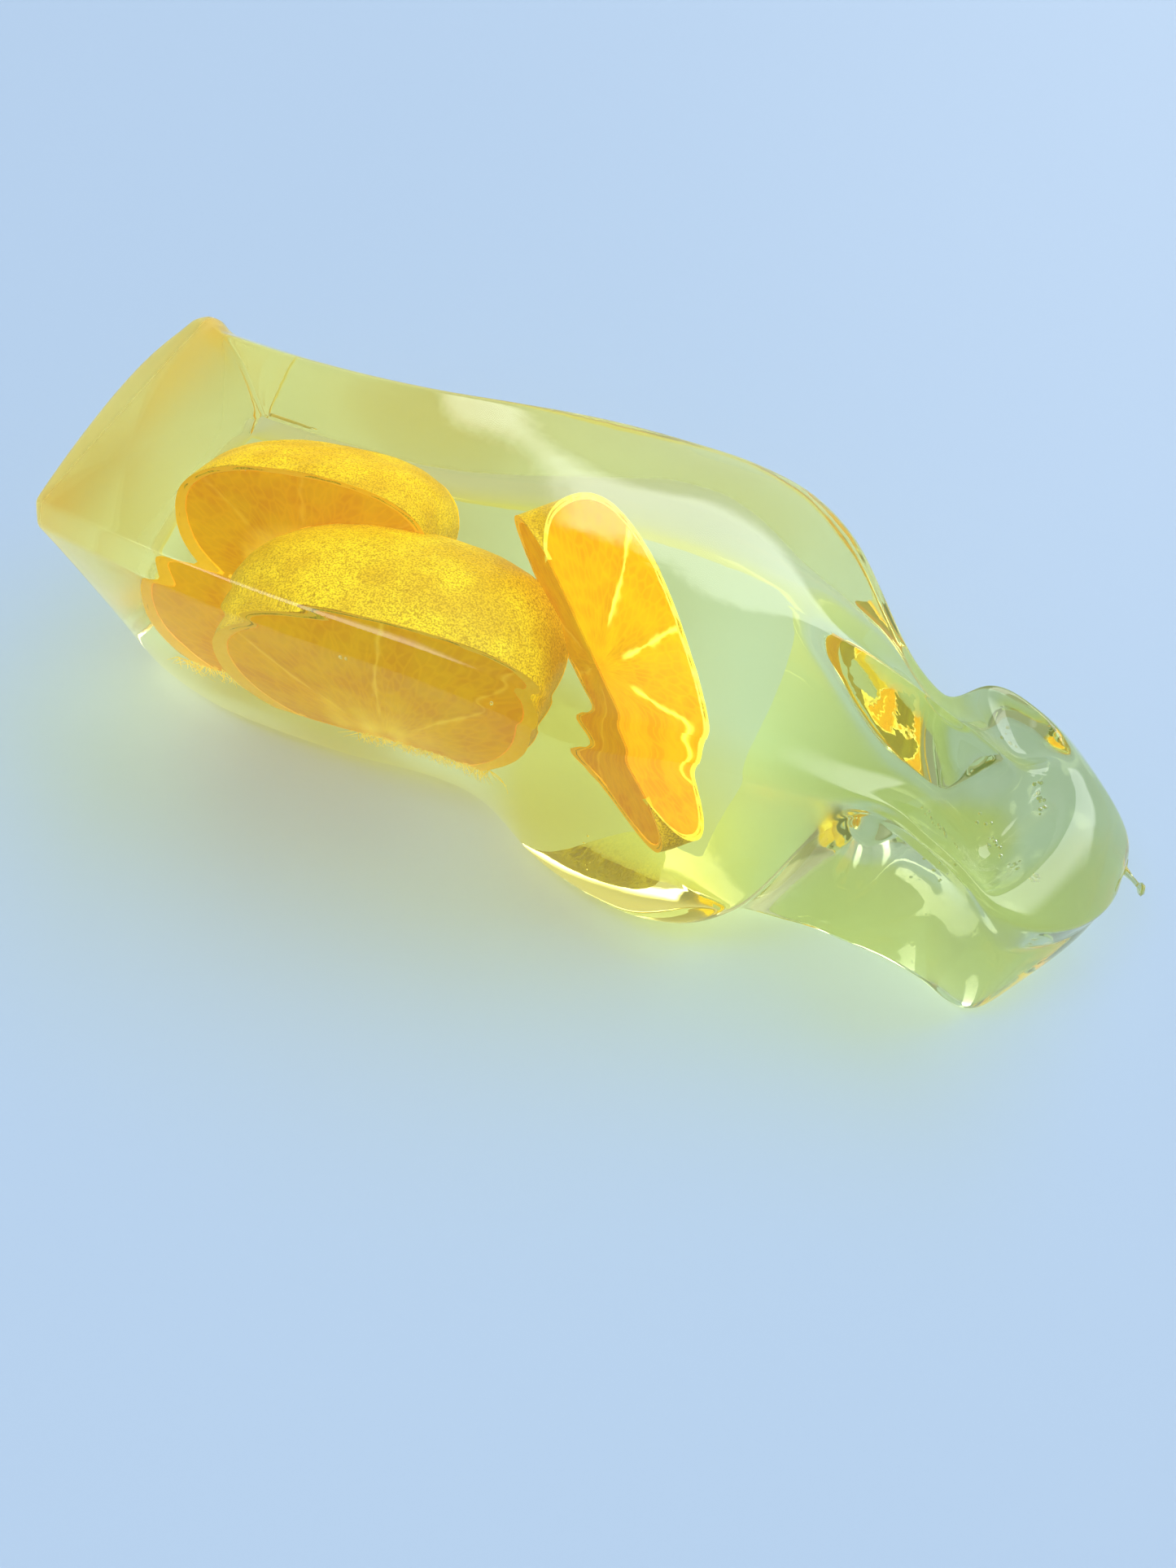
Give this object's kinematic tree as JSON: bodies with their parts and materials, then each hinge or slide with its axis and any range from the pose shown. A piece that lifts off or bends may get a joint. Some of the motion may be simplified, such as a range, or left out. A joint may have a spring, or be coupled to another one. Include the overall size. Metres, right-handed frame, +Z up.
{
  "type": "toy ice pop",
  "caption": "Clear lime-yellow gel ice pop toy: a square bar with a flat end, citrus wedges sunk in it, and a wrung waist with a hollow beside its rounded end.",
  "frame": {"origin": "middle of the bounding box at the level of the flat underside", "axes": "+X along the bar from the square end to the rounded end, +Y to the back, +Z up"},
  "size_m": [0.1504, 0.061, 0.0376],
  "materials": {
    "clear_gel": "clear, wet-looking soft gel",
    "fruit_peel": "satin yellow with fine pores",
    "fruit_flesh": "glossy orange pulp",
    "fruit_pith": "pale yellow, soft"
  },
  "bodies": {
    "root": {"gel_bar": "clear_gel"}
  },
  "joints": []
}
